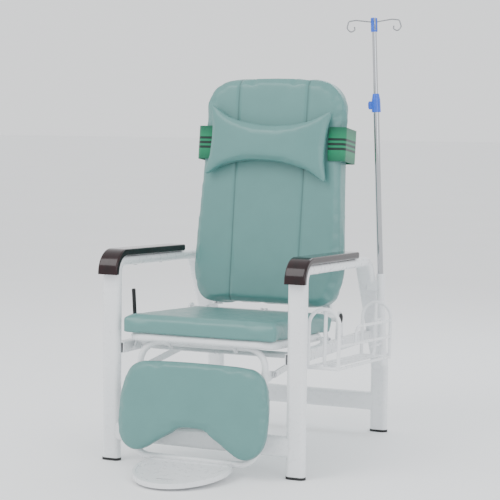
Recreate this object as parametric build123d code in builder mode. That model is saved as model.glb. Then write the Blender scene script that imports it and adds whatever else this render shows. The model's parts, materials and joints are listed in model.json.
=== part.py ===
from build123d import *
from math import cos, radians, sin
import os

# Patient recliner chair: painted steel side frames with armrests, a padded seat, a reclining
# back with a pillow, a leg rest that lifts with the back, a wire basket and an IV pole.
#
# Millimetres, +Z up. The chair is drawn with X = 0 on its middle plane, Y = 0 on the centre
# line of the front legs and Z = 0 on the floor; the sitter faces -Y. Every finished piece is
# then shifted sideways so that the row's origin is the middle of the whole chair's footprint.

# ---------------------------------------------------------------- driving dimensions
SIDES = {"left": -1, "right": 1}

# side frames: flat-oval tube bent in one plane on each side
LEG_X = 305                 # tube centre from the middle plane
TUBE_W = 60                 # tube width, along X
TUBE_T = 30                 # tube thickness
TUBE_WALL = 2
ARM_Z = 616                 # tube centre at the front of the armrest
ARM_DROP = 0.030            # fall of the armrest per mm towards the rear
REAR_TOP_Y = 592            # where the armrest line meets the sloping rear leg
REAR_FOOT_Y = 785
KNEE_Z = 240                # where the rear leg turns vertical
FOOT_CAP_H = 8
RAIL_H = 62                 # height of the two cross rails
FRONT_RAIL_Z = 94
REAR_RAIL_Z = 103

# armrest pads
PAD_W = 66
PAD_T = 22
PAD_FRONT_Z = 577           # lower end, on the front of the leg
PAD_REAR_Y = 448

# seat
SEAT_Z = 403                # top of the seat frame at Y = 0
SEAT_TILT = 3.0
SEAT_TUBE_R = 12.5
SEAT_FRAME_X = 235
SEAT_FRAME_FRONT = -15
SEAT_FRAME_REAR = 390
SEAT_HALF_W = 250
SEAT_PAD_T = 55
SEAT_PAD_FRONT = -41
SEAT_PAD_REAR = 462
BOARD_T = 10
SIDE_RAIL_W = 30
SIDE_RAIL_H = 35
SIDE_RAIL_X = 281
SIDE_RAIL_Z = 351

# back: everything on it is placed from its pivot
PIVOT_Y = 482
PIVOT_Z = 420
BACK_TILT = 6.5
SHAFT_R = 12.5
PLAY = 0.05                 # radial clearance of every running fit
BACK_FRONT = 25             # front face of the cushion ahead of the pivot
BACK_PAD_T = 73
BACK_BOARD_T = 12
BACK_TOP = 778              # top of the cushion above the pivot
BACK_BOTTOM = 27
BACK_TUBE_R = 11
ARM_PLATE_X = 204.5         # middle of the bell-crank plates
ARM_PLATE_T = 6

# leg rest: everything on it is placed from its hinge
HINGE_Y = 8
HINGE_Z = 376
LEG_TILT = 10.8
LEG_TUBE_R = 10
LEG_HALF_W = 205
LEG_LENGTH = 343
LEG_PAD_T = 40
LEG_BOARD_T = 9

# linkage between back and leg rest: equal, parallel cranks of 93.6 mm
CRANK = 93.6
CRANK_ANGLE = 30            # rearwards of straight down at rest
LINK_X = 211.5
LINK_T = 4
LINK_H = 20
PIN_R = 4

# gas spring under the seat
GAS_CRANK = 84
GAS_Z = PIVOT_Z - GAS_CRANK * cos(radians(30))
GAS_R = 12
GAS_ROD_R = 5

# release lever
LEVER_X = -262
LEVER_Y = 76
LEVER_Z = 366

# IV pole
POLE_X = 352                # pole centre at POLE_REF_Z
POLE_Y = 627
POLE_REF_Z = 550
POLE_LEAN = 2.66            # towards the middle of the chair
SOCKET_R = 13
LOWER_R = 9.5
UPPER_R = 7.5
HOOK_R = 2.1

# basket, hung between the front leg and the pole socket
BASKET_IN = 320
BASKET_OUT = 415
BASKET_Y = 46
BASKET_Z = 327
BASKET_L = 495
BASKET_TILT = 3.4
BASKET_H = 173
WIRE_R = 5.5

# middle of the footprint, measured over basket, armrests, footplate and rear feet
ROW_SHIFT = Vector(-41.25, -247.5, 0)

# ---------------------------------------------------------------- local planes
seat_t = radians(SEAT_TILT)
back_t = radians(BACK_TILT)
leg_t = radians(LEG_TILT)
bask_t = radians(BASKET_TILT)
pole_t = radians(POLE_LEAN)

# x across, y rearwards along the seat, z off the seat
SEAT = Plane(origin=(0, 0, SEAT_Z), x_dir=(1, 0, 0), z_dir=(0, sin(seat_t), cos(seat_t)))
# x across, y up along the back, z forwards
BACK = Plane(origin=(0, PIVOT_Y, PIVOT_Z), x_dir=(1, 0, 0), z_dir=(0, -cos(back_t), sin(back_t)))
# x across, y up along the leg rest, z forwards
LEG = Plane(origin=(0, HINGE_Y, HINGE_Z), x_dir=(1, 0, 0), z_dir=(0, -cos(leg_t), sin(leg_t)))
# x across, y rearwards along the basket, z up
BASKET = Plane(
    origin=(0, BASKET_Y, BASKET_Z), x_dir=(1, 0, 0), z_dir=(0, sin(bask_t), cos(bask_t))
)
# z along the pole
POLE = Plane(
    origin=(POLE_X, POLE_Y, POLE_REF_Z), x_dir=(cos(pole_t), 0, sin(pole_t)),
    z_dir=(-sin(pole_t), 0, cos(pole_t)),
)


def keep(piece, name):
    """Label a finished piece, shift it to the row's origin and write it."""
    piece.part.label = name
    placed = piece.part.moved(Location(ROW_SHIFT))
    placed.label = name
    export_step(placed, f"parts/{name}.step")


def bar_along(points, radii, width, thick):
    """Solid flat-oval bar along a path in a plane of constant X."""
    with BuildPart() as bar:
        with BuildLine() as run:
            FilletPolyline(*points, radius=radii)
        with BuildSketch(Plane(run.line @ 0, x_dir=(1, 0, 0), z_dir=run.line % 0)):
            SlotOverall(width, thick)
        sweep(path=run.line)
    return bar.part


def round_bar(points, radii, radius):
    """Solid round bar along a filleted path in space."""
    with BuildPart() as bar:
        with BuildLine() as run:
            if radii:
                FilletPolyline(*points, radius=radii)
            else:
                Polyline(*points)
        with BuildSketch(Plane(run.line @ 0, z_dir=run.line % 0)):
            Circle(radius)
        sweep(path=run.line)
    return bar.part


def cylinder_x(x_from, x_to, y, z, radius):
    """Round bar across the chair."""
    with BuildPart() as bar:
        with BuildSketch(Plane.YZ.offset(x_from)):
            with Locations((y, z)):
                Circle(radius)
        extrude(amount=x_to - x_from)
    return bar.part


def plate_x(x_from, x_to, circles):
    """Flat plate in a plane of constant X: the hull of a few discs given as (y, z, radius)."""
    with BuildPart() as plate:
        with BuildSketch(Plane.YZ.offset(x_from)):
            for y, z, radius in circles:
                with Locations((y, z)):
                    Circle(radius)
            make_hull()
        extrude(amount=x_to - x_from)
    return plate.part


def on(plane, x, y, z):
    """A point given in a local plane's coordinates."""
    return plane.from_local_coords(Vector(x, y, z))


# ---------------------------------------------------------------- side frames
leg_path = [
    (0, FOOT_CAP_H),
    (0, ARM_Z),
    (REAR_TOP_Y, ARM_Z - ARM_DROP * REAR_TOP_Y),
    (REAR_FOOT_Y, KNEE_Z),
    (REAR_FOOT_Y, FOOT_CAP_H),
]
leg_bends = [36, 60, 150]
outer_bar = {}
for side, sign in SIDES.items():
    spots = [(sign * LEG_X, y, z) for y, z in leg_path]
    outer_bar[side] = bar_along(spots, leg_bends, TUBE_W, TUBE_T)
    inner_bar = bar_along(spots, leg_bends, TUBE_W - 2 * TUBE_WALL, TUBE_T - 2 * TUBE_WALL)
    with BuildPart() as side_frame:
        add(outer_bar[side])
        add(inner_bar, mode=Mode.SUBTRACT)
    keep(side_frame, f"side_frame_{side}")

# moulded end caps: a rim under the tube and a plug inside it
with BuildPart() as foot_caps:
    for sign in SIDES.values():
        for y in (0, REAR_FOOT_Y):
            with BuildSketch():
                with Locations((sign * LEG_X, y)):
                    SlotOverall(TUBE_W + 2, TUBE_T + 2)
            extrude(amount=FOOT_CAP_H)
            with BuildSketch(Plane.XY.offset(FOOT_CAP_H)):
                with Locations((sign * LEG_X, y)):
                    SlotOverall(TUBE_W - 2 * TUBE_WALL, TUBE_T - 2 * TUBE_WALL)
            extrude(amount=14)
keep(foot_caps, "foot_caps")

# two flat-oval cross rails, coped onto the legs
for name, y, z in (("front", 0, FRONT_RAIL_Z), ("rear", REAR_FOOT_Y, REAR_RAIL_Z)):
    with BuildPart() as cross_rail:
        with BuildSketch(Plane.YZ.offset(-LEG_X)):
            with Locations((y, z)):
                SlotOverall(RAIL_H, TUBE_T - 2, rotation=90)
                SlotOverall(RAIL_H - 4, TUBE_T - 6, rotation=90, mode=Mode.SUBTRACT)
        extrude(amount=2 * LEG_X)
        add(outer_bar["left"], mode=Mode.SUBTRACT)
        add(outer_bar["right"], mode=Mode.SUBTRACT)
    keep(cross_rail, f"{name}_cross_rail")

# rectangular side rails under the seat, coped onto the front and rear legs
rail_plane_t = radians(1.0)
rail_length = 727
for side, sign in SIDES.items():
    start = Plane(
        origin=(sign * SIDE_RAIL_X, 0, SIDE_RAIL_Z), x_dir=(1, 0, 0),
        z_dir=(0, cos(rail_plane_t), -sin(rail_plane_t)),
    )
    with BuildPart() as side_rail:
        with BuildSketch(start):
            RectangleRounded(SIDE_RAIL_W, SIDE_RAIL_H, 5)
            RectangleRounded(SIDE_RAIL_W - 4, SIDE_RAIL_H - 4, 3, mode=Mode.SUBTRACT)
        extrude(amount=rail_length)
        add(outer_bar[side], mode=Mode.SUBTRACT)
    keep(side_rail, f"seat_side_rail_{side}")

# ---------------------------------------------------------------- armrest pads
# a moulded pad that lies on the tube and wraps down the front bend
pad_off = TUBE_T / 2 + PAD_T / 2
pad_corner_z = ARM_Z + pad_off + ARM_DROP * pad_off
for side, sign in SIDES.items():
    x = sign * LEG_X
    pad_path = [
        (x, -pad_off, PAD_FRONT_Z),
        (x, -pad_off, pad_corner_z),
        (x, PAD_REAR_Y, ARM_Z + pad_off - ARM_DROP * PAD_REAR_Y),
    ]
    with BuildPart() as armrest_pad:
        with BuildLine() as run:
            FilletPolyline(*pad_path, radius=[leg_bends[0] + pad_off])
        with BuildSketch(Plane(run.line @ 0, x_dir=(1, 0, 0), z_dir=run.line % 0)):
            RectangleRounded(PAD_W, PAD_T, 6)
        sweep(path=run.line)
        add(outer_bar[side], mode=Mode.SUBTRACT)
    keep(armrest_pad, f"armrest_pad_{side}")

# two pan-head screws under each armrest tube
with BuildPart() as armrest_screws:
    for sign in SIDES.values():
        for y in (150, 330):
            under = ARM_Z - ARM_DROP * y - TUBE_T / 2
            with BuildSketch(Plane(origin=(sign * LEG_X, y, under - 0.2), z_dir=(0, 0, -1))):
                Circle(5.5)
            extrude(amount=3.4)
keep(armrest_screws, "armrest_screws")

# ---------------------------------------------------------------- seat
tube_down = -SEAT_TUBE_R
seat_loop = [
    on(SEAT, 0, SEAT_FRAME_FRONT, tube_down),
    on(SEAT, SEAT_FRAME_X, SEAT_FRAME_FRONT, tube_down),
    on(SEAT, SEAT_FRAME_X, SEAT_FRAME_REAR, tube_down),
    on(SEAT, 0, SEAT_FRAME_REAR, tube_down),
]
seat_half = round_bar(seat_loop, [42, 42], SEAT_TUBE_R)
seat_half_bore = round_bar(seat_loop, [42, 42], SEAT_TUBE_R - 1.5)
with BuildPart() as seat_frame:
    add(seat_half)
    add(seat_half_bore, mode=Mode.SUBTRACT)
    mirror(about=Plane.YZ)
keep(seat_frame, "seat_frame")

# welded L brackets from the seat frame to the side rails, bolted to the rails
bracket_spots = (155, 335)
with BuildPart() as seat_bolts:
    for sign in SIDES.values():
        for y in bracket_spots:
            seat_at = on(SEAT, 0, y, -52)
            face = Plane(
                origin=(sign * 260, seat_at.Y, seat_at.Z), x_dir=(0, 1, 0), z_dir=(-sign, 0, 0)
            )
            with BuildSketch(face):
                RegularPolygon(7.5, 6)
            extrude(amount=5)
            with BuildSketch(face):
                Circle(4)
            extrude(amount=-6)
with BuildPart() as seat_brackets:
    for sign in SIDES.values():
        for y in bracket_spots:
            with BuildSketch(Plane(on(SEAT, 0, y - 20, 0), x_dir=(1, 0, 0), z_dir=SEAT.y_dir)):
                with Locations((sign * 263, 39.5)):
                    Rectangle(6, 60)
                with Locations((sign * 252, 12.5)):
                    Rectangle(28, 6)
            extrude(amount=40)
    add(seat_half, mode=Mode.SUBTRACT)
    add(mirror(seat_half, about=Plane.YZ, mode=Mode.PRIVATE), mode=Mode.SUBTRACT)
    add(seat_bolts.part, mode=Mode.SUBTRACT)
keep(seat_brackets, "seat_brackets")
keep(seat_bolts, "seat_bolts")

with BuildPart() as seat_board:
    with BuildSketch(SEAT.offset(0.1)):
        with Locations((0, 214)):
            RectangleRounded(464, 432, 30)
    extrude(amount=BOARD_T)
keep(seat_board, "seat_board")

# the rear face slopes forwards going down, to leave room for the swinging cranks
with BuildPart() as seat_cushion:
    with BuildSketch(Plane.YZ.offset(-SEAT_HALF_W)):
        with BuildLine():
            Polyline(
                (on(SEAT, 0, SEAT_PAD_FRONT, 0).Y, on(SEAT, 0, SEAT_PAD_FRONT, 0).Z),
                (on(SEAT, 0, 434, 0).Y, on(SEAT, 0, 434, 0).Z),
                (on(SEAT, 0, SEAT_PAD_REAR, SEAT_PAD_T).Y, on(SEAT, 0, SEAT_PAD_REAR, SEAT_PAD_T).Z),
                (on(SEAT, 0, SEAT_PAD_FRONT, SEAT_PAD_T).Y, on(SEAT, 0, SEAT_PAD_FRONT, SEAT_PAD_T).Z),
                close=True,
            )
        make_face()
    extrude(amount=2 * SEAT_HALF_W)
    fillet(seat_cushion.edges().filter_by(Axis.X).group_by(Axis.Z)[-1], 12)
    add(seat_frame.part, mode=Mode.SUBTRACT)
    add(seat_board.part, mode=Mode.SUBTRACT)
keep(seat_cushion, "seat_cushion")

# ---------------------------------------------------------------- back
recline_shaft_x = 266
with BuildPart() as recline_shaft:
    add(cylinder_x(-recline_shaft_x, recline_shaft_x, PIVOT_Y, PIVOT_Z, SHAFT_R))
    add(
        cylinder_x(-recline_shaft_x, recline_shaft_x, PIVOT_Y, PIVOT_Z, SHAFT_R - 2.5),
        mode=Mode.SUBTRACT,
    )
keep(recline_shaft, "recline_shaft")

with BuildPart() as recline_brackets:
    for sign in SIDES.values():
        x_in = min(sign * 260, sign * 266)
        add(
            plate_x(
                x_in, x_in + 6,
                [(PIVOT_Y, PIVOT_Z, 22), (PIVOT_Y - 24, 336, 8), (PIVOT_Y + 24, 336, 8)],
            )
        )
        add(
            cylinder_x(x_in - 1, x_in + 7, PIVOT_Y, PIVOT_Z, SHAFT_R + PLAY),
            mode=Mode.SUBTRACT,
        )
keep(recline_brackets, "recline_brackets")

# caps pressed into the shaft's open ends, whose rims hold it between the brackets
with BuildPart() as shaft_caps:
    for sign in SIDES.values():
        with BuildSketch(Plane(origin=(sign * 266.3, PIVOT_Y, PIVOT_Z), z_dir=(sign, 0, 0))):
            Circle(16)
        extrude(amount=4)
        with BuildSketch(Plane(origin=(sign * 266.3, PIVOT_Y, PIVOT_Z), z_dir=(-sign, 0, 0))):
            Circle(SHAFT_R - 2.5)
        extrude(amount=16)
    fillet(shaft_caps.edges().filter_by(GeomType.CIRCLE).group_by(Axis.X)[0], 2)
    fillet(shaft_caps.edges().filter_by(GeomType.CIRCLE).group_by(Axis.X)[-1], 2)
keep(shaft_caps, "shaft_caps")

crank_a = radians(CRANK_ANGLE)
rear_pin = (PIVOT_Y + CRANK * sin(crank_a), PIVOT_Z - CRANK * cos(crank_a))
front_pin = (HINGE_Y + CRANK * sin(crank_a), HINGE_Z - CRANK * cos(crank_a))

# inverted-U tube behind the back board
frame_w = -(BACK_PAD_T - BACK_FRONT) - BACK_BOARD_T - BACK_TUBE_R
stile_x = ARM_PLATE_X - ARM_PLATE_T / 2 - BACK_TUBE_R
stile_foot = 22
frame_top = 690
back_half = [
    on(BACK, stile_x, stile_foot, frame_w),
    on(BACK, stile_x, frame_top, frame_w),
    on(BACK, 0, frame_top, frame_w),
]
back_half_bar = round_bar(back_half, [70], BACK_TUBE_R)
back_half_bore = round_bar(back_half, [70], BACK_TUBE_R - 1.5)
with BuildPart() as back_frame:
    add(back_half_bar)
    add(back_half_bore, mode=Mode.SUBTRACT)
    mirror(about=Plane.YZ)
keep(back_frame, "back_frame")

# bell-crank plates: one lobe carries the back frame, the other drives the linkage
lobe_low = on(BACK, 0, 12, frame_w)
lobe_high = on(BACK, 0, 150, frame_w)
for side, sign in SIDES.items():
    x_mid = sign * ARM_PLATE_X
    x_low = x_mid - ARM_PLATE_T / 2
    across = plate_x(
        x_low, x_low + ARM_PLATE_T, [(PIVOT_Y, PIVOT_Z, 17), (lobe_low.Y, lobe_low.Z, 11)]
    )
    upper = plate_x(
        x_low, x_low + ARM_PLATE_T,
        [(lobe_low.Y, lobe_low.Z, 11), (lobe_high.Y, lobe_high.Z, 10)],
    )
    lower = plate_x(
        x_low, x_low + ARM_PLATE_T, [(PIVOT_Y, PIVOT_Z, 17), (rear_pin[0], rear_pin[1], 11)]
    )
    with BuildPart() as back_arm:
        add(across)
        add(upper)
        add(lower)
        add(
            cylinder_x(x_low - 1, x_low + 7, PIVOT_Y, PIVOT_Z, SHAFT_R), mode=Mode.SUBTRACT
        )
        add(
            cylinder_x(x_low - 1, x_low + 7, rear_pin[0], rear_pin[1], PIN_R),
            mode=Mode.SUBTRACT,
        )
    keep(back_arm, f"back_arm_{side}")


def link_pin(sign, y, z, x_root):
    """Shouldered pin: head inside the plate, shank through plate and link, washer outside."""
    with BuildPart() as pin:
        with BuildSketch(Plane(origin=(sign * x_root, y, z), z_dir=(-sign, 0, 0))):
            Circle(7.5)
        extrude(amount=3)
        with BuildSketch(Plane(origin=(sign * x_root, y, z), z_dir=(sign, 0, 0))):
            Circle(PIN_R)
        extrude(amount=LINK_X + LINK_T / 2 + 1 - x_root)
        with BuildSketch(
            Plane(origin=(sign * (LINK_X + LINK_T / 2 + 0.4), y, z), z_dir=(sign, 0, 0))
        ):
            Circle(7.5)
        extrude(amount=2.4)
    return pin.part


plate_in = ARM_PLATE_X - ARM_PLATE_T / 2
with BuildPart() as rear_link_pins:
    for sign in SIDES.values():
        add(link_pin(sign, rear_pin[0], rear_pin[1], plate_in))
keep(rear_link_pins, "rear_link_pins")

back_half_w = 250
back_waist_w = 264


def back_outline(inset):
    """Front outline of the back: rounded top, slightly wider at elbow height, round bottom."""
    top = BACK_TOP - inset
    low = BACK_BOTTOM + inset
    wide = back_waist_w - inset
    head = back_half_w - 4 - inset
    with BuildSketch(mode=Mode.PRIVATE) as outline:
        with BuildLine():
            Spline(
                (head, top - 118), (back_half_w + 2 - inset, 430), (wide, 200), (wide - 6, 110),
                (wide - 36, low + 18),
                tangents=((0.02, -1), (-0.72, -0.6)),
            )
            ThreePointArc((head, top - 118), (head - 26, top - 44), (head - 92, top - 10))
            Spline(
                (head - 92, top - 10), (0, top), (-head + 92, top - 10),
                tangents=((-1, 0.16), (-1, -0.16)),
            )
            ThreePointArc((-head + 92, top - 10), (-head + 26, top - 44), (-head, top - 118))
            Spline(
                (-head, top - 118), (-back_half_w - 2 + inset, 430), (-wide, 200),
                (-wide + 6, 110), (-wide + 36, low + 18),
                tangents=((-0.02, -1), (0.72, -0.6)),
            )
            ThreePointArc((-wide + 36, low + 18), (-wide + 58, low + 4), (-wide + 86, low))
            Line((-wide + 86, low), (wide - 86, low))
            ThreePointArc((wide - 86, low), (wide - 58, low + 4), (wide - 36, low + 18))
        make_face()
    return outline.sketch


with BuildPart() as back_board:
    with BuildSketch(BACK.offset(BACK_FRONT - BACK_PAD_T - 0.1)):
        add(back_outline(14))
    extrude(amount=-(BACK_BOARD_T - 0.1))
    add(recline_shaft.part, mode=Mode.SUBTRACT)
keep(back_board, "back_board")

with BuildPart() as back_cushion:
    with BuildSketch(BACK.offset(BACK_FRONT - BACK_PAD_T)):
        add(back_outline(0))
    extrude(amount=BACK_PAD_T)
keep(back_cushion, "back_cushion")

# ---------------------------------------------------------------- pillow and strap
pillow_mid = 557
pillow_half = 214
pillow_t = 62
strap_h = 110
strap_t = 2.5
strap_gap = 3
strap_mid = 559
with BuildPart() as pillow:
    with BuildSketch(BACK.offset(BACK_FRONT + 0.6)):
        with BuildLine():
            top, foot, bay = pillow_mid + 117, pillow_mid - 117, pillow_half - 12
            ThreePointArc((-pillow_half, top), (0, pillow_mid + 66), (pillow_half, top))
            ThreePointArc((pillow_half, top), (bay, pillow_mid), (pillow_half, foot))
            ThreePointArc((pillow_half, foot), (0, pillow_mid - 66), (-pillow_half, foot))
            ThreePointArc((-pillow_half, foot), (-bay, pillow_mid), (-pillow_half, top))
        make_face()
    extrude(amount=pillow_t)
keep(pillow, "pillow")

# an elastic band round the whole back; its ends are sewn to the back of the pillow
band_front = BACK_FRONT + strap_gap + strap_t
band_back = frame_w - BACK_TUBE_R - strap_gap - strap_t
band_x = back_half_w + 5 + strap_gap + strap_t
with BuildPart() as pillow_strap:
    strap_plane = Plane(
        origin=on(BACK, 0, strap_mid - strap_h / 2, 0), x_dir=(1, 0, 0), z_dir=BACK.y_dir
    )
    with BuildSketch(strap_plane):
        with Locations((0, -(band_front + band_back) / 2)):
            RectangleRounded(2 * band_x, band_front - band_back, 14)
            RectangleRounded(
                2 * (band_x - strap_t), band_front - band_back - 2 * strap_t, 12,
                mode=Mode.SUBTRACT,
            )
    extrude(amount=strap_h)
    add(pillow.part, mode=Mode.SUBTRACT)
keep(pillow_strap, "pillow_strap")

# ---------------------------------------------------------------- leg rest
leg_half = [
    (0, 0), (LEG_HALF_W, 0), (LEG_HALF_W, -LEG_LENGTH), (0, -LEG_LENGTH),
]
leg_points = [on(LEG, x, y, 0) for x, y in leg_half]
leg_half_bar = round_bar(leg_points, [60, 60], LEG_TUBE_R)
leg_half_bore = round_bar(leg_points, [60, 60], LEG_TUBE_R - 1.5)
with BuildPart() as legrest_frame:
    add(leg_half_bar)
    add(leg_half_bore, mode=Mode.SUBTRACT)
    mirror(about=Plane.YZ)
keep(legrest_frame, "legrest_frame")

# hinge lugs hang from the seat's front rail round the leg rest's top bar
rail_mid = on(SEAT, 0, SEAT_FRAME_FRONT, tube_down)
with BuildPart() as legrest_hinge_lugs:
    for x in (-110, 104):
        add(plate_x(x, x + 6, [(rail_mid.Y, rail_mid.Z, 10), (HINGE_Y, HINGE_Z, 17)]))
        add(cylinder_x(x - 1, x + 7, HINGE_Y, HINGE_Z, LEG_TUBE_R + PLAY), mode=Mode.SUBTRACT)
    add(seat_half, mode=Mode.SUBTRACT)
    add(mirror(seat_half, about=Plane.YZ, mode=Mode.PRIVATE), mode=Mode.SUBTRACT)
keep(legrest_hinge_lugs, "legrest_hinge_lugs")

# ears behind the leg rest's side tubes carry the front ends of the links
ear_x = LEG_HALF_W - 2.5
ear_on_tube = on(LEG, 0, -100, 0)
ear_on_tube_low = on(LEG, 0, -70, 0)
with BuildPart() as legrest_ears:
    for sign in SIDES.values():
        x_low = min(sign * ear_x, sign * (ear_x + 5))
        add(
            plate_x(
                x_low, x_low + 5,
                [
                    (front_pin[0], front_pin[1], 11),
                    (ear_on_tube.Y, ear_on_tube.Z, 8),
                    (ear_on_tube_low.Y, ear_on_tube_low.Z, 8),
                ],
            )
        )
        add(
            cylinder_x(x_low - 1, x_low + 6, front_pin[0], front_pin[1], PIN_R),
            mode=Mode.SUBTRACT,
        )
    add(leg_half_bar, mode=Mode.SUBTRACT)
    add(mirror(leg_half_bar, about=Plane.YZ, mode=Mode.PRIVATE), mode=Mode.SUBTRACT)
keep(legrest_ears, "legrest_ears")

with BuildPart() as front_link_pins:
    for sign in SIDES.values():
        add(link_pin(sign, front_pin[0], front_pin[1], ear_x))
keep(front_link_pins, "front_link_pins")


def leg_outline(inset):
    """Calf pad outline: round shoulders, two lobes at the bottom and a shallow V between."""
    with BuildSketch(mode=Mode.PRIVATE) as outline:
        with BuildLine():
            half = Spline(
                (0, -56 - inset), (120, -58 - inset), (205 - inset, -78 - inset),
                (240 - inset, -150), (243 - inset, -230), (226 - inset, -300),
                (183, -328 + inset), (130, -312 + inset), (60, -274 + inset),
                (0, -259 + inset),
                tangents=((1, 0), (-1, 0)),
            )
            mirror(half, about=Plane.YZ)
        make_face()
    return outline.sketch


leg_board_w = LEG_TUBE_R + 0.1
with BuildPart() as legrest_board:
    with BuildSketch(LEG.offset(leg_board_w)):
        add(leg_outline(16))
    extrude(amount=LEG_BOARD_T - 0.2)
keep(legrest_board, "legrest_board")

with BuildPart() as legrest_pad:
    with BuildSketch(LEG.offset(LEG_TUBE_R + LEG_BOARD_T)):
        add(leg_outline(0))
    extrude(amount=LEG_PAD_T)
keep(legrest_pad, "legrest_pad")

# footplate: a D-shaped dished tray welded to the front of the leg rest's bottom bar
plate_rear = 12
plate_depth = 238
plate_half = 132
plate_h = 15
plate_drop = 4.0
bottom_bar = on(LEG, 0, -LEG_LENGTH, 0)
FOOT = Plane(
    origin=(0, bottom_bar.Y - plate_rear, bottom_bar.Z - 8), x_dir=(1, 0, 0),
    z_dir=(0, -sin(radians(plate_drop)), cos(radians(plate_drop))),
)


def foot_outline(inset):
    """D-shaped outline, straight along the rear edge."""
    with BuildSketch(mode=Mode.PRIVATE) as outline:
        with BuildLine():
            half = plate_half - inset
            nose = -plate_depth + inset
            Line((-half, -inset), (half, -inset))
            right = Bezier(
                (half, -inset), (half + 38, -105), (half - 34, nose), (0, nose)
            )
            mirror(right, about=Plane.YZ)
        make_face()
    return outline.sketch


with BuildPart() as footplate:
    with BuildSketch(FOOT.offset(-plate_h / 2)):
        add(foot_outline(0))
    extrude(amount=plate_h)
    with BuildSketch(FOOT.offset(plate_h / 2 - 4)):
        add(foot_outline(9))
    extrude(amount=5, mode=Mode.SUBTRACT)
    with BuildSketch(FOOT.offset(-plate_h)):
        with Locations((0, -182)):
            SlotOverall(56, 9)
    extrude(amount=2 * plate_h, mode=Mode.SUBTRACT)
    with BuildSketch(Plane.YZ.offset(-95)):
        with Locations((bottom_bar.Y - 9, bottom_bar.Z - 7)):
            Rectangle(18, 10)
    extrude(amount=190)
    add(leg_half_bar, mode=Mode.SUBTRACT)
    add(mirror(leg_half_bar, about=Plane.YZ, mode=Mode.PRIVATE), mode=Mode.SUBTRACT)
keep(footplate, "footplate")

# ---------------------------------------------------------------- links
for side, sign in SIDES.items():
    x_low = sign * LINK_X - LINK_T / 2
    with BuildPart() as link_bar:
        add(
            plate_x(
                x_low, x_low + LINK_T,
                [(front_pin[0], front_pin[1], LINK_H / 2), (rear_pin[0], rear_pin[1], LINK_H / 2)],
            )
        )
        for y, z in (front_pin, rear_pin):
            add(cylinder_x(x_low - 1, x_low + 5, y, z, PIN_R + 0.4), mode=Mode.SUBTRACT)
    keep(link_bar, f"link_bar_{side}")

# ---------------------------------------------------------------- gas spring
gas_pin_y = PIVOT_Y + GAS_CRANK * sin(crank_a)
travel = 2 * GAS_CRANK * sin(crank_a)
cylinder_from = 150
cylinder_to = 318
eye_y = cylinder_from - 14
with BuildPart() as gas_spring_cylinder:
    with BuildSketch(Plane.XZ.offset(-cylinder_from)):
        with Locations((0, GAS_Z)):
            Circle(GAS_R)
    extrude(amount=-(cylinder_to - cylinder_from))
    fillet(gas_spring_cylinder.edges().filter_by(GeomType.CIRCLE), 3)
    with BuildSketch(Plane.XZ.offset(-cylinder_from - 30)):
        with Locations((0, GAS_Z)):
            Circle(GAS_ROD_R + PLAY)
    extrude(amount=-(cylinder_to - cylinder_from), mode=Mode.SUBTRACT)
    with BuildSketch(Plane.YZ.offset(-4)):
        with Locations((eye_y, GAS_Z)):
            Circle(8)
        with Locations(((cylinder_from + eye_y) / 2 + 2, GAS_Z)):
            Rectangle(cylinder_from - eye_y + 4, 16)
        with Locations((eye_y, GAS_Z)):
            Circle(PIN_R, mode=Mode.SUBTRACT)
    extrude(amount=8)
keep(gas_spring_cylinder, "gas_spring_cylinder")

# cross tube between the side rails' brackets that anchors the gas spring
anchor_y = 112
anchor_z = 347
with BuildPart() as gas_anchor_tube:
    add(cylinder_x(-266, 266, anchor_y, anchor_z, 10))
    add(cylinder_x(-266, 266, anchor_y, anchor_z, 8.5), mode=Mode.SUBTRACT)
keep(gas_anchor_tube, "gas_anchor_tube")
anchor_bar = cylinder_x(-266, 266, anchor_y, anchor_z, 10)
with BuildPart() as gas_anchor_ears:
    for x in (-10, 5):
        add(plate_x(x, x + 5, [(eye_y, GAS_Z, 8), (anchor_y, anchor_z, 12)]))
        add(cylinder_x(x - 1, x + 6, eye_y, GAS_Z, PIN_R), mode=Mode.SUBTRACT)
    add(anchor_bar, mode=Mode.SUBTRACT)
keep(gas_anchor_ears, "gas_anchor_ears")
with BuildPart() as gas_anchor_pin:
    add(cylinder_x(-10, 10, eye_y, GAS_Z, PIN_R))
    add(cylinder_x(-13, -10, eye_y, GAS_Z, 6.5))
    add(cylinder_x(10, 13, eye_y, GAS_Z, 6.5))
keep(gas_anchor_pin, "gas_anchor_pin")

# rod with a slotted end: the slot takes up the crank's arc
slot_high = GAS_CRANK * (1 - cos(crank_a)) + 2 * PIN_R + 0.6
with BuildPart() as gas_spring_rod:
    with BuildSketch(Plane.XZ.offset(-(cylinder_to - 50))):
        with Locations((0, GAS_Z)):
            Circle(GAS_ROD_R)
    extrude(amount=-(gas_pin_y - 12 - (cylinder_to - 50)))
    with BuildSketch(Plane.YZ.offset(-4)):
        with Locations((gas_pin_y, GAS_Z - (slot_high - 2 * PIN_R) / 2)):
            RectangleRounded(28, slot_high + 12, 7)
            SlotOverall(slot_high, 2 * PIN_R + 2.4, rotation=90, mode=Mode.SUBTRACT)
    extrude(amount=8)
keep(gas_spring_rod, "gas_spring_rod")

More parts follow.
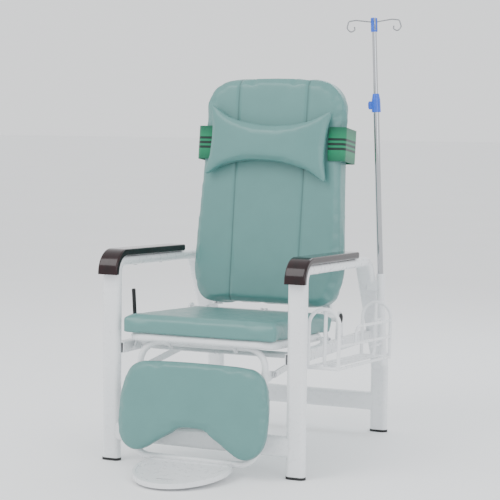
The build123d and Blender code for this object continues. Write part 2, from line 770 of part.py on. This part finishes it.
shaft_solid = cylinder_x(-recline_shaft_x, recline_shaft_x, PIVOT_Y, PIVOT_Z, SHAFT_R)
with BuildPart() as gas_crank_ears:
    for x in (-10, 5):
        add(plate_x(x, x + 5, [(PIVOT_Y, PIVOT_Z, 18), (gas_pin_y, GAS_Z, 9)]))
        add(cylinder_x(x - 1, x + 6, gas_pin_y, GAS_Z, PIN_R), mode=Mode.SUBTRACT)
    add(shaft_solid, mode=Mode.SUBTRACT)
keep(gas_crank_ears, "gas_crank_ears")
with BuildPart() as gas_crank_pin:
    add(cylinder_x(-10, 10, gas_pin_y, GAS_Z, PIN_R))
    add(cylinder_x(-13, -10, gas_pin_y, GAS_Z, 6.5))
    add(cylinder_x(10, 13, gas_pin_y, GAS_Z, 6.5))
keep(gas_crank_pin, "gas_crank_pin")

# ---------------------------------------------------------------- release lever
# the lever turns a cross shaft whose cam reaches the gas spring's release valve
lever_top = (LEVER_X, LEVER_Y - 18, LEVER_Z + 158)
with BuildPart() as lever_bracket:
    add(plate_x(-258, -254, [(LEVER_Y, LEVER_Z, 11), (LEVER_Y + 15, 349, 7), (LEVER_Y - 15, 349, 7)]))
    with BuildSketch(Plane.YZ.offset(-266)):
        with Locations((LEVER_Y, 346)):
            Rectangle(34, 8)
    extrude(amount=8.5)
    add(cylinder_x(-259, -253, LEVER_Y, LEVER_Z, 5 + PLAY), mode=Mode.SUBTRACT)
keep(lever_bracket, "lever_bracket")
with BuildPart() as release_shaft:
    add(cylinder_x(-258.5, 20, LEVER_Y, LEVER_Z, 5))
    add(plate_x(-3, 3, [(LEVER_Y, LEVER_Z, 8), (LEVER_Y + 26, LEVER_Z + 10, 4)]))
keep(release_shaft, "release_shaft")
with BuildPart() as release_lever:
    add(round_bar([(LEVER_X, LEVER_Y, LEVER_Z - 9), lever_top], None, 3.5))
keep(release_lever, "release_lever")
grip_from = Vector(*lever_top) + (Vector(LEVER_X, LEVER_Y, LEVER_Z) - Vector(*lever_top)) * 0.52
grip_axis = (Vector(*lever_top) - grip_from).normalized()
with BuildPart() as lever_grip:
    with BuildSketch(Plane(grip_from, z_dir=grip_axis)):
        Circle(6)
    extrude(amount=(Vector(*lever_top) - grip_from).length + 4)
    fillet(lever_grip.edges().group_by(Axis.Z)[-1], 2.5)
    add(release_lever.part, mode=Mode.SUBTRACT)
keep(lever_grip, "lever_grip")

# ---------------------------------------------------------------- pole socket
pole_foot = -300
with BuildPart() as pole_socket:
    with BuildSketch(POLE.offset(pole_foot)):
        Circle(SOCKET_R)
    extrude(amount=-pole_foot + 6)
    fillet(pole_socket.edges().group_by(Axis.Z)[0], 8)
    with BuildSketch(POLE.offset(pole_foot + 12)):
        Circle(LOWER_R + PLAY)
    extrude(amount=-pole_foot, mode=Mode.SUBTRACT)
keep(pole_socket, "pole_socket")
socket_bar = Cylinder(SOCKET_R, 400, align=(Align.CENTER, Align.CENTER, Align.MIN))
socket_bar = POLE.offset(pole_foot) * socket_bar

# a weld block at the leg and a bent stay from the socket's foot to the rear leg
with BuildPart() as socket_stays:
    with BuildSketch(Plane.YZ.offset(LEG_X + 5)):
        with Locations((POLE_Y + 2, 516)):
            RectangleRounded(26, 34, 4)
    extrude(amount=POLE_X - LEG_X - 5)
    add(outer_bar["right"], mode=Mode.SUBTRACT)
    add(socket_bar, mode=Mode.SUBTRACT)
stay_low = round_bar(
    [
        (POLE_X + 13, POLE_Y, 276), (POLE_X + 13, POLE_Y + 70, 276),
        (LEG_X + 12, REAR_FOOT_Y - 22, 276),
    ],
    [30], 6,
)
with BuildPart() as stay_rod:
    add(stay_low)
    add(outer_bar["right"], mode=Mode.SUBTRACT)
    add(socket_bar, mode=Mode.SUBTRACT)
with BuildPart() as both_stays:
    add(socket_stays.part)
    add(stay_rod.part)
keep(both_stays, "socket_stays")

# ---------------------------------------------------------------- IV pole
collar_foot = 534
lower_top = 556
with BuildPart() as lower_pole:
    with BuildSketch(POLE.offset(pole_foot + 14)):
        Circle(LOWER_R)
        Circle(UPPER_R + PLAY, mode=Mode.SUBTRACT)
    extrude(amount=lower_top - pole_foot - 14)
keep(lower_pole, "lower_pole")
lower_solid = POLE.offset(pole_foot + 14) * Cylinder(
    LOWER_R, lower_top - pole_foot - 14, align=(Align.CENTER, Align.CENTER, Align.MIN)
)
# tapered clamp collar with a lug for the release button
with BuildPart() as pole_collar:
    with BuildSketch(POLE.offset(collar_foot)):
        Circle(15)
    with BuildSketch(POLE.offset(collar_foot + 40)):
        Circle(14)
    loft()
    with BuildSketch(POLE.offset(collar_foot + 40)):
        Circle(14)
    with BuildSketch(POLE.offset(collar_foot + 60)):
        Circle(10.5)
    loft()
    with BuildSketch(POLE.offset(collar_foot + 10)):
        with Locations((-17, 0)):
            RectangleRounded(14, 12, 2)
    extrude(amount=26)
    with BuildSketch(POLE.offset(collar_foot + 8)):
        with Locations((-21, 0)):
            Rectangle(10, 6.4)
    extrude(amount=30, mode=Mode.SUBTRACT)
    with BuildSketch(POLE.offset(collar_foot - 1)):
        Circle(UPPER_R + PLAY)
    extrude(amount=64, mode=Mode.SUBTRACT)
    add(lower_solid, mode=Mode.SUBTRACT)
keep(pole_collar, "pole_collar")
with BuildPart() as collar_button:
    with BuildSketch(Plane(origin=on(POLE, 0, -2.9, 0), x_dir=POLE.x_dir, z_dir=(0, 1, 0))):
        with Locations((-22.5, -(collar_foot + 23))):
            SlotOverall(22, 8, rotation=90)
    extrude(amount=5.8)
keep(collar_button, "collar_button")

hub_foot = 794
hub_h = 46
upper_foot = 120
with BuildPart() as upper_pole:
    with BuildSketch(POLE.offset(upper_foot)):
        Circle(UPPER_R)
        Circle(UPPER_R - 1.2, mode=Mode.SUBTRACT)
    extrude(amount=hub_foot + 14 - upper_foot)
keep(upper_pole, "upper_pole")
upper_solid = POLE.offset(upper_foot) * Cylinder(
    UPPER_R, hub_foot + 14 - upper_foot, align=(Align.CENTER, Align.CENTER, Align.MIN)
)

# moulded hub on top of the upper tube
with BuildPart() as pole_hub:
    with BuildSketch(POLE.offset(hub_foot)):
        Circle(11)
    extrude(amount=hub_h)
    fillet(pole_hub.edges().group_by(Axis.Z)[-1], 4)
    add(upper_solid, mode=Mode.SUBTRACT)

# four wire hooks: out from the hub, down, and round into an open loop
hook_z = hub_foot + 32
hook_run = [(8, 0), (58, 7), (82, 4), (88, -18), (76, -32), (62, -24), (64, -14)]
hook_bends = [30, 7, 8, 8, 6]
hook_angles = (20, 110, 200, 290)
with BuildPart() as iv_hooks:
    for angle in hook_angles:
        a = radians(angle)
        heading = on(POLE, cos(a), sin(a), 0) - POLE.origin
        flat = Plane(
            origin=on(POLE, 0, 0, hook_z), x_dir=heading, z_dir=heading.cross(POLE.z_dir)
        )
        add(round_bar([on(flat, s, h, 0) for s, h in hook_run], hook_bends, HOOK_R))
keep(iv_hooks, "iv_hooks")
with BuildPart() as drilled_hub:
    add(pole_hub.part)
    add(iv_hooks.part, mode=Mode.SUBTRACT)
keep(drilled_hub, "pole_hub")

# ---------------------------------------------------------------- basket


def wire(points, radii=None, radius=WIRE_R):
    """Round wire through points given in the basket's own plane."""
    return round_bar([on(BASKET, *spot) for spot in points], radii, radius)


arch_r = (BASKET_OUT - BASKET_IN) / 2 - 0.5
arch = {}
for name, s in (("front", 0), ("rear", BASKET_L)):
    arch[name] = wire(
        [
            (BASKET_IN, s, -WIRE_R), (BASKET_IN, s, BASKET_H), (BASKET_OUT, s, BASKET_H),
            (BASKET_OUT, s, -WIRE_R),
        ],
        [arch_r, arch_r],
    )
    with BuildPart() as basket_arch:
        add(arch[name])
        add(wire([(BASKET_IN, s, 0), (BASKET_OUT, s, 0)], radius=WIRE_R - 0.5))
    arch[name] = basket_arch.part
    keep(basket_arch, f"basket_{name}_arch")

# lengthwise rods: bottom pair, a middle rod on the outer side and the raised rear rail
mid_rail_h = 66
raised_h = 117
raised_s = 150
rail_r = WIRE_R - 0.8
rail_end = BASKET_L - 1.5
with BuildPart() as basket_rails:
    for across, height in ((BASKET_IN, 0.3), (BASKET_OUT, 0.3), (BASKET_OUT, mid_rail_h)):
        add(wire([(across, 1.5, height), (across, rail_end, height)], radius=rail_r))
    add(
        wire(
            [
                (BASKET_OUT, raised_s, mid_rail_h), (BASKET_OUT, raised_s, raised_h),
                (BASKET_OUT, rail_end, raised_h),
            ],
            [36],
            rail_r,
        )
    )
    add(arch["front"], mode=Mode.SUBTRACT)
    add(arch["rear"], mode=Mode.SUBTRACT)
keep(basket_rails, "basket_rails")

# the middle wire drops from one arch, runs along the floor and rises to the other
basket_mid = (BASKET_IN + BASKET_OUT) / 2
with BuildPart() as basket_middle_wire:
    add(
        wire(
            [
                (basket_mid, 12, BASKET_H), (basket_mid, 12, 0), (basket_mid, BASKET_L - 12, 0),
                (basket_mid, BASKET_L - 12, BASKET_H),
            ],
            [26, 26],
        )
    )
    add(arch["front"], mode=Mode.SUBTRACT)
    add(arch["rear"], mode=Mode.SUBTRACT)
keep(basket_middle_wire, "basket_middle_wire")

with BuildPart() as basket_tray:
    with BuildSketch(BASKET.offset(WIRE_R + 0.1)):
        with Locations((basket_mid, BASKET_L / 2)):
            SlotOverall(BASKET_L - 90, 72, rotation=90)
            with GridLocations(0, 60, 1, 6):
                SlotOverall(40, 8, mode=Mode.SUBTRACT)
    extrude(amount=2)
keep(basket_tray, "basket_tray")

# short welded rods tie the basket to the front leg and to the pole socket
with BuildPart() as basket_stubs:
    for h in (30, 112):
        at = on(BASKET, BASKET_IN, 0, h)
        add(round_bar([(BASKET_IN - 4, 8, at.Z), (BASKET_IN - 4, at.Y, at.Z)], None, 4.5))
        back = on(BASKET, basket_mid, BASKET_L, h)
        add(round_bar([(POLE_X + 8, back.Y - 14, back.Z), (POLE_X + 8, POLE_Y, back.Z)], None, 4.5))
    add(outer_bar["right"], mode=Mode.SUBTRACT)
    add(socket_bar, mode=Mode.SUBTRACT)
    add(arch["front"], mode=Mode.SUBTRACT)
    add(arch["rear"], mode=Mode.SUBTRACT)
    add(basket_middle_wire.part, mode=Mode.SUBTRACT)
keep(basket_stubs, "basket_stubs")
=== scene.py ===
import json
import math

import bpy
import numpy as np
from mathutils import Matrix, Vector


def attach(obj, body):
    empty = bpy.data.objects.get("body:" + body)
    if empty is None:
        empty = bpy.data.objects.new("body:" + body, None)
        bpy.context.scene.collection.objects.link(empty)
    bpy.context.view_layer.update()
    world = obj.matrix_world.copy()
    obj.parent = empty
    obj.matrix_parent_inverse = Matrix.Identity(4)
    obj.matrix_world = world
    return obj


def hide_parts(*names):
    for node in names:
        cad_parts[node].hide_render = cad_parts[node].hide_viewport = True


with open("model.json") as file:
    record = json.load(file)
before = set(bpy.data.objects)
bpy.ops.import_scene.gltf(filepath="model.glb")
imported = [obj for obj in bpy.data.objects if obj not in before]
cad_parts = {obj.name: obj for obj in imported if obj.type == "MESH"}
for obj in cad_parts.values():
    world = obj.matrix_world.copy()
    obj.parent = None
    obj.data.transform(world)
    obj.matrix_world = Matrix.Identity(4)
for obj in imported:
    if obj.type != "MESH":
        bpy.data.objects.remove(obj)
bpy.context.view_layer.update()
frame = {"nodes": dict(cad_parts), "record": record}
scene = bpy.context.scene

# the chair's own origin, under the middle of its front legs, in the row frame
SHIFT = np.array((-0.04125, -0.2475, 0.0))

VOXEL = 0.006             # remesh size of the cushions
CLOTH_FRAMES = 20
SEAM_SHADE_WIDTH = 0.0022     # half width of the painted shade line along the bottom of a seam groove
# how strongly the painted seam shade darkens the vinyl
SEAM_SHADE_TINT = 0.8


def plane(origin, tilt, back=False):
    """Origin and the directions across, along and outwards of a tilted part."""
    o = np.array(origin) + SHIFT
    t = math.radians(tilt)
    across = np.array((1.0, 0.0, 0.0))
    if back:
        along, out = (0, math.sin(t), math.cos(t)), (0, -math.cos(t), math.sin(t))
    else:
        along, out = (0, math.cos(t), -math.sin(t)), (0, math.sin(t), math.cos(t))
    return o, across, np.array(along), np.array(out)


SEAT = plane((0, 0, 0.403), 3.0)
BACK = plane((0, 0.482, 0.420), 6.5, back=True)
LEG = plane((0, 0.008, 0.376), 10.8, back=True)


def to_local(points, axes):
    o, a, b, c = axes
    d = points - o
    return np.stack((d @ a, d @ b, d @ c), axis=1)


def to_world(local, axes):
    o, a, b, c = axes
    return o + local[:, :1] * a + local[:, 1:2] * b + local[:, 2:3] * c


# ---------------------------------------------------------------- materials
class Look:
    """A procedural material under construction."""

    def __init__(self, name, colour, roughness, metallic=0.0):
        self.mat = bpy.data.materials.new(name)
        self.mat.use_nodes = True
        self.nodes = self.mat.node_tree.nodes
        self.links = self.mat.node_tree.links
        self.shader = self.nodes["Principled BSDF"]
        self.shader.inputs["Base Color"].default_value = (*colour, 1)
        self.shader.inputs["Roughness"].default_value = roughness
        self.shader.inputs["Metallic"].default_value = metallic
        self.colour = colour
        self.where = self.nodes.new("ShaderNodeTexCoord").outputs["Object"]

    def noise(self, scale, detail=4, stretch=None):
        node = self.nodes.new("ShaderNodeTexNoise")
        node.inputs["Scale"].default_value = scale
        node.inputs["Detail"].default_value = detail
        node.inputs["Roughness"].default_value = 0.55
        self.links.new(self.mapped(stretch), node.inputs["Vector"])
        return node.outputs["Fac"]

    def cells(self, scale):
        node = self.nodes.new("ShaderNodeTexVoronoi")
        node.inputs["Scale"].default_value = scale
        self.links.new(self.where, node.inputs["Vector"])
        return node.outputs["Distance"]

    def mapped(self, stretch):
        if stretch is None:
            return self.where
        node = self.nodes.new("ShaderNodeMapping")
        node.inputs["Scale"].default_value = stretch
        self.links.new(self.where, node.inputs["Vector"])
        return node.outputs["Vector"]

    def ramp(self, value, stops):
        node = self.nodes.new("ShaderNodeValToRGB")
        ramp = node.color_ramp
        while len(ramp.elements) < len(stops):
            ramp.elements.new(0.5)
        for element, (at, colour) in zip(ramp.elements, stops):
            element.position = at
            element.color = (*colour, 1)
        self.links.new(value, node.inputs["Fac"])
        return node.outputs["Color"]

    def vary(self, scale, amount, stretch=None):
        """Gentle unevenness of the base colour."""
        dark = [c * (1 - amount) for c in self.colour]
        light = [min(1, c * (1 + amount)) for c in self.colour]
        out = self.ramp(self.noise(scale, stretch=stretch), ((0.3, dark), (0.7, light)))
        self.links.new(out, self.shader.inputs["Base Color"])
        return out

    def rough(self, scale, low, high, stretch=None):
        out = self.ramp(self.noise(scale, stretch=stretch), ((0.3, (low,) * 3), (0.7, (high,) * 3)))
        self.links.new(out, self.shader.inputs["Roughness"])

    def bump(self, height, distance, strength=1.0):
        node = self.nodes.new("ShaderNodeBump")
        node.inputs["Strength"].default_value = strength
        node.inputs["Distance"].default_value = distance
        self.links.new(height, node.inputs["Height"])
        socket = self.shader.inputs["Normal"]
        if socket.links:
            self.links.new(socket.links[0].from_socket, node.inputs["Normal"])
        self.links.new(node.outputs["Normal"], socket)

    def set(self, **sockets):
        for name, value in sockets.items():
            self.shader.inputs[name.replace("_", " ")].default_value = value
        return self


def white_paint():
    look = Look("powder_coat", (0.82, 0.835, 0.85), 0.3)
    look.vary(9, 0.02)
    look.rough(60, 0.24, 0.36)
    look.bump(look.noise(700, 2), 0.00012, 0.5)
    look.set(Coat_Weight=0.35, Coat_Roughness=0.12)
    return look.mat


def vinyl():
    look = Look("teal_vinyl", (0.098, 0.246, 0.232), 0.36)
    base = look.vary(14, 0.03)
    # the seam attribute blends the vinyl towards a darker teal along each seam groove: painted
    # shade
    seam = look.nodes.new("ShaderNodeAttribute")
    seam.attribute_name = "seam"
    mix = look.nodes.new("ShaderNodeMix")
    mix.data_type = "RGBA"
    look.links.new(seam.outputs["Fac"], mix.inputs["Factor"])
    look.links.new(base, mix.inputs["A"])
    mix.inputs["B"].default_value = (0.025, 0.085, 0.08, 1)
    look.links.new(mix.outputs["Result"], look.shader.inputs["Base Color"])
    look.rough(35, 0.31, 0.43)
    look.bump(look.cells(1100), 0.00025, 0.5)
    look.bump(look.noise(26, 5), 0.0012, 0.18)
    look.set(Coat_Weight=0.2, Coat_Roughness=0.25)
    return look.mat


def armrest_plastic():
    look = Look("dark_gloss_armrest", (0.010, 0.0008, 0.0016), 0.16)
    look.vary(30, 0.4, stretch=(1, 0.2, 1))
    look.rough(50, 0.1, 0.2)
    look.bump(look.noise(350, 2), 0.0001, 0.3)
    look.set(Coat_Weight=0.3, Coat_Roughness=0.06, Specular_IOR_Level=0.25)
    return look.mat


def chrome():
    look = Look("polished_chrome", (0.5, 0.51, 0.53), 0.1, 1.0)
    look.vary(20, 0.03)
    look.rough(90, 0.05, 0.13, stretch=(1, 1, 0.1))
    return look.mat


def blue_plastic():
    look = Look("blue_plastic", (0.012, 0.10, 0.62), 0.28)
    look.vary(60, 0.1)
    look.bump(look.noise(900, 2), 0.0001, 0.4)
    look.set(Coat_Weight=0.3, Coat_Roughness=0.15)
    return look.mat


def stainless():
    look = Look("satin_stainless", (0.3, 0.31, 0.32), 0.3, 1.0)
    look.vary(40, 0.05)
    look.rough(160, 0.2, 0.36, stretch=(1, 1, 0.15))
    look.bump(look.noise(1500, 2, stretch=(1, 1, 0.05)), 0.00005, 0.4)
    return look.mat


def zinc_steel():
    look = Look("bright_zinc", (0.5, 0.51, 0.53), 0.35, 1.0)
    look.vary(120, 0.14)
    look.rough(200, 0.25, 0.48)
    return look.mat


def plywood():
    look = Look("birch_plywood", (0.5, 0.34, 0.2), 0.62)
    look.vary(12, 0.22, stretch=(8, 0.7, 8))
    look.bump(look.noise(90, 6, stretch=(10, 0.6, 10)), 0.0003, 0.5)
    return look.mat


def black_rubber():
    look = Look("black_rubber", (0.012, 0.012, 0.013), 0.6)
    look.vary(40, 0.25)
    look.bump(look.noise(500, 3), 0.0002, 0.6)
    return look.mat


def black_paint():
    look = Look("black_enamel", (0.012, 0.012, 0.013), 0.3)
    look.rough(60, 0.24, 0.4)
    look.bump(look.noise(700, 2), 0.0001, 0.4)
    look.set(Coat_Weight=0.4, Coat_Roughness=0.1)
    return look.mat


STRAP_MIDDLE = 0.559      # along the back, from its pivot
STRAP_HALF = 0.055


def elastic():
    """Woven green band with three dark lines along its middle."""
    look = Look("elastic_band", (0.0, 0.2, 0.085), 0.75)
    dot = look.nodes.new("ShaderNodeVectorMath")
    dot.operation = "DOT_PRODUCT"
    look.links.new(look.where, dot.inputs[0])
    dot.inputs[1].default_value = tuple(BACK[2])
    offset = look.nodes.new("ShaderNodeMath")
    offset.operation = "SUBTRACT"
    look.links.new(dot.outputs["Value"], offset.inputs[0])
    offset.inputs[1].default_value = float(BACK[0] @ BACK[2]) + STRAP_MIDDLE - STRAP_HALF
    across = look.nodes.new("ShaderNodeMath")
    across.operation = "DIVIDE"
    look.links.new(offset.outputs[0], across.inputs[0])
    across.inputs[1].default_value = 2 * STRAP_HALF
    green, dark = (0.0, 0.22, 0.095), (0.002, 0.02, 0.016)
    stops = [(0.0, (0.0, 0.12, 0.06))]
    for middle in (0.36, 0.5, 0.64):
        stops += [
            (middle - 0.045, green), (middle - 0.03, dark),
            (middle + 0.03, dark), (middle + 0.045, green),
        ]
    stops.append((0.97, (0.0, 0.12, 0.06)))
    look.links.new(look.ramp(across.outputs[0], stops), look.shader.inputs["Base Color"])
    ribs = look.nodes.new("ShaderNodeTexWave")
    ribs.wave_type = "BANDS"
    ribs.bands_direction = "Z"
    ribs.inputs["Scale"].default_value = 160
    look.links.new(look.where, ribs.inputs["Vector"])
    look.bump(ribs.outputs["Fac"], 0.0004, 0.6)
    weft = look.nodes.new("ShaderNodeTexWave")
    weft.bands_direction = "X"
    weft.inputs["Scale"].default_value = 190
    look.links.new(look.where, weft.inputs["Vector"])
    look.bump(weft.outputs["Fac"], 0.0003, 0.5)
    look.set(Sheen_Weight=0.3, Sheen_Roughness=0.5)
    return look.mat


looks = {
    "white_paint": white_paint(), "vinyl": vinyl(), "armrest_plastic": armrest_plastic(),
    "chrome": chrome(), "blue_plastic": blue_plastic(), "stainless": stainless(),
    "zinc_steel": zinc_steel(), "plywood": plywood(), "black_rubber": black_rubber(),
    "black_paint": black_paint(), "elastic": elastic(),
}
for part in frame["record"]["subparts"]:
    mesh = frame["nodes"][part["node"]].data
    mesh.materials.clear()
    mesh.materials.append(looks[part["material_slot"]])


# ---------------------------------------------------------------- cushions
def evaluated_mesh(obj):
    bpy.context.view_layer.update()
    return bpy.data.meshes.new_from_object(obj.evaluated_get(bpy.context.evaluated_depsgraph_get()))


def coords(mesh):
    co = np.zeros(len(mesh.vertices) * 3)
    mesh.vertices.foreach_get("co", co)
    return co.reshape(-1, 3)


def apply_modifiers(obj):
    mesh = evaluated_mesh(obj)
    obj.modifiers.clear()
    obj.data = mesh


def cushion(
    node, axes, body, name, inset, cap, room, pressure=4.0, seams=(), pinch=0.0, lean=0.0
):
    """Cloth-simulated cushion from a copy of its CAD solid. room is how far it may stand
    proud across, along and outwards; seams are grooves given as (axis, place, depth, width,
    bow); pinch thins the piece towards its sewn edges; lean turns it on the back, in degrees."""
    obj = bpy.data.objects.new(name, frame["nodes"][node].data.copy())
    scene.collection.objects.link(obj)
    remesh = obj.modifiers.new("remesh", "REMESH")
    remesh.mode = "VOXEL"
    remesh.voxel_size = VOXEL
    soften = obj.modifiers.new("soften", "SMOOTH")
    soften.factor = 0.5
    soften.iterations = 3
    apply_modifiers(obj)
    local = to_local(coords(obj.data), axes)
    low, high = local.min(0), local.max(0)
    middle = (low + high) / 2
    scale = 1 - 2 * np.array(inset) / (high - low)
    start = middle + (local - middle) * scale
    start[:, 2] += low[2] - start[:, 2].min()
    obj.data.vertices.foreach_set("co", to_world(start, axes).ravel())
    obj.data.update()
    cloth = obj.modifiers.new("cloth", "CLOTH")
    cloth.settings.quality = 4
    cloth.settings.mass = 0.3
    cloth.settings.tension_stiffness = 12
    cloth.settings.compression_stiffness = 12
    cloth.settings.bending_stiffness = 0.8
    cloth.settings.use_pressure = True
    cloth.settings.uniform_pressure_force = pressure
    cloth.settings.effector_weights.gravity = 0
    cloth.collision_settings.use_collision = False
    cloth.point_cache.frame_start = 1
    cloth.point_cache.frame_end = CLOTH_FRAMES
    for step in range(1, CLOTH_FRAMES + 1):
        scene.frame_set(step)
    apply_modifiers(obj)
    scene.frame_set(1)
    moved = to_local(coords(obj.data), axes) - start
    length = np.linalg.norm(moved, axis=1, keepdims=True)
    start = start + moved * np.minimum(1, cap / np.maximum(length, 1e-9))
    floor = low[2]
    # back to the solid's own extents, so that the outline keeps its size
    low_now, high_now = start.min(0), start.max(0)
    final = start.copy()
    for k in range(2):
        share = (start[:, k] - low_now[k]) / (high_now[k] - low_now[k])
        final[:, k] = low[k] + share * (high[k] - low[k])
    for k in range(2):
        limit_low, limit_high = low[k] - room[k], high[k] + room[k]
        final[:, k] = np.clip(final[:, k], limit_low, limit_high)
    final[:, 2] = np.clip(final[:, 2], floor, high[2] + room[2])
    obj.data.vertices.foreach_set("co", to_world(final, axes).ravel())
    obj.data.update()
    settle = obj.modifiers.new("settle", "SMOOTH")
    settle.factor = 0.5
    settle.iterations = 4
    finer = obj.modifiers.new("finer", "SUBSURF")
    finer.levels = finer.render_levels = 1
    apply_modifiers(obj)
    local = to_local(coords(obj.data), axes)
    local[:, 2] = np.maximum(local[:, 2], floor)
    seam = np.zeros(len(local))
    front = np.clip((local[:, 2] - floor) / max(high[2] - floor, 1e-6), 0, 1)
    for axis, place, depth, width, bow in seams:
        other = local[:, 1 - axis]
        reach = max(abs(low[1 - axis]), abs(high[1 - axis]))
        centre = place + bow * (other / reach)
        near = np.exp(-((local[:, axis] - centre) / width) ** 2) * np.clip(front * 2 - 0.6, 0, 1)
        local[:, 2] -= depth * near
        # a narrow line of painted shade along the bottom of each groove, kept in the seam attribute
        seam_shade = np.exp(-((local[:, axis] - centre) / SEAM_SHADE_WIDTH) ** 2) * (front > 0.5)
        seam = np.maximum(seam, seam_shade)
    if pinch:
        half = (high - low) / 2
        away = np.abs(local[:, :2] - middle[:2]) / half[:2]
        edge = np.clip(away.max(axis=1), 0, 1) ** 3
        heart = low[2] + (high[2] - low[2]) * 0.42
        local[:, 2] = heart + (local[:, 2] - heart) * (1.06 - (pinch + 0.4) * edge)
    if lean:
        turn = math.radians(lean)
        flat = local[:, :2] - middle[:2]
        local[:, 0] = middle[0] + flat[:, 0] * math.cos(turn) - flat[:, 1] * math.sin(turn)
        local[:, 1] = middle[1] + flat[:, 0] * math.sin(turn) + flat[:, 1] * math.cos(turn)
    obj.data.vertices.foreach_set("co", to_world(local, axes).ravel())
    # the seam attribute carries the painted seam shade to the vinyl material
    mark = obj.data.attributes.new("seam", "FLOAT", "POINT")
    mark.data.foreach_set("value", (seam * SEAM_SHADE_TINT).astype(np.float32))
    obj.data.materials.clear()
    obj.data.materials.append(looks["vinyl"])
    obj.data.polygons.foreach_set("use_smooth", [True] * len(obj.data.polygons))
    obj.data.update()
    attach(obj, body)
    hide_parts(node)
    return obj


cushion(
    "seat_cushion", SEAT, "frame", "seat_pad", (0.003, 0.003, 0.004), 0.010,
    (0.003, 0.002, 0.010), pressure=3.0,
)
cushion(
    "back_cushion", BACK, "backrest", "back_pad", (0.003, 0.003, 0.005), 0.011,
    (0.001, 0.003, 0.007), pressure=3.0,
    seams=((0, -0.118, 0.0035, 0.006, -0.004), (0, 0.118, 0.0035, 0.006, 0.004)),
)
cushion(
    "legrest_pad", LEG, "legrest", "calf_pad", (0.003, 0.003, 0.003), 0.009,
    (0.002, 0.002, 0.008), pressure=3.0,
)
cushion(
    "pillow", BACK, "headrest", "head_pillow", (0.002, 0.002, 0.008), 0.010,
    (0.003, 0.003, 0.010), pressure=4.0, pinch=0.34, lean=-2.5,
)

# ---------------------------------------------------------------- floor, light, camera
bpy.ops.mesh.primitive_plane_add(size=300, location=(0, 0, 0))
floor = bpy.context.object
floor.name = "floor"
ground = Look("pale_floor", (0.93, 0.935, 0.94), 0.8)
ground.vary(0.8, 0.01)
floor.data.materials.append(ground.mat)

world = bpy.data.worlds.new("soft_studio")
scene.world = world
world.use_nodes = True
world.node_tree.nodes["Background"].inputs["Color"].default_value = (0.97, 0.985, 1.0, 1)
world.node_tree.nodes["Background"].inputs["Strength"].default_value = 1.35


def softbox(name, place, target, width, height, power, colour=(1, 1, 1)):
    data = bpy.data.lights.new(name, "AREA")
    data.shape = "RECTANGLE"
    data.size, data.size_y = width, height
    data.energy = power
    data.color = colour
    lamp = bpy.data.objects.new(name, data)
    scene.collection.objects.link(lamp)
    lamp.location = place
    lamp.rotation_euler = (Vector(target) - Vector(place)).to_track_quat("-Z", "Y").to_euler()


softbox("key", (-1.6, -2.6, 3.6), (0, 0, 0.5), 2.4, 2.4, 75)
softbox("fill", (3.0, -2.2, 2.2), (0, 0, 0.6), 2.0, 2.4, 35, (0.9, 0.95, 1))
softbox("back", (0.6, 2.8, 3.0), (0, 0, 0.7), 3.0, 1.6, 45, (0.85, 0.93, 1))

CAM_PLACE = (1.81735, -4.3024, 1.02266)
CAM_TURN, CAM_TILT, CAM_ROLL = 0.396309, -0.0810476, 0.0124159
CAM_FOCAL_PX, CAM_CX, CAM_CY, FRAME_PX = 1500.64, 253.463, 251.341, 500
ahead = Vector((
    -math.sin(CAM_TURN) * math.cos(CAM_TILT),
    math.cos(CAM_TURN) * math.cos(CAM_TILT),
    math.sin(CAM_TILT),
))
right = Vector((math.cos(CAM_TURN), math.sin(CAM_TURN), 0))
up = right.cross(ahead)
side = right * math.cos(CAM_ROLL) + up * math.sin(CAM_ROLL)
top = -right * math.sin(CAM_ROLL) + up * math.cos(CAM_ROLL)
camera = bpy.data.objects.new("camera", bpy.data.cameras.new("camera"))
scene.collection.objects.link(camera)
camera.matrix_world = Matrix((
    (side.x, top.x, -ahead.x, CAM_PLACE[0]),
    (side.y, top.y, -ahead.y, CAM_PLACE[1]),
    (side.z, top.z, -ahead.z, CAM_PLACE[2]),
    (0, 0, 0, 1),
))
camera.data.sensor_width = 36
camera.data.lens = 36 * CAM_FOCAL_PX / FRAME_PX
camera.data.shift_x = -(CAM_CX - FRAME_PX / 2) / FRAME_PX
camera.data.shift_y = (CAM_CY - FRAME_PX / 2) / FRAME_PX
scene.camera = camera
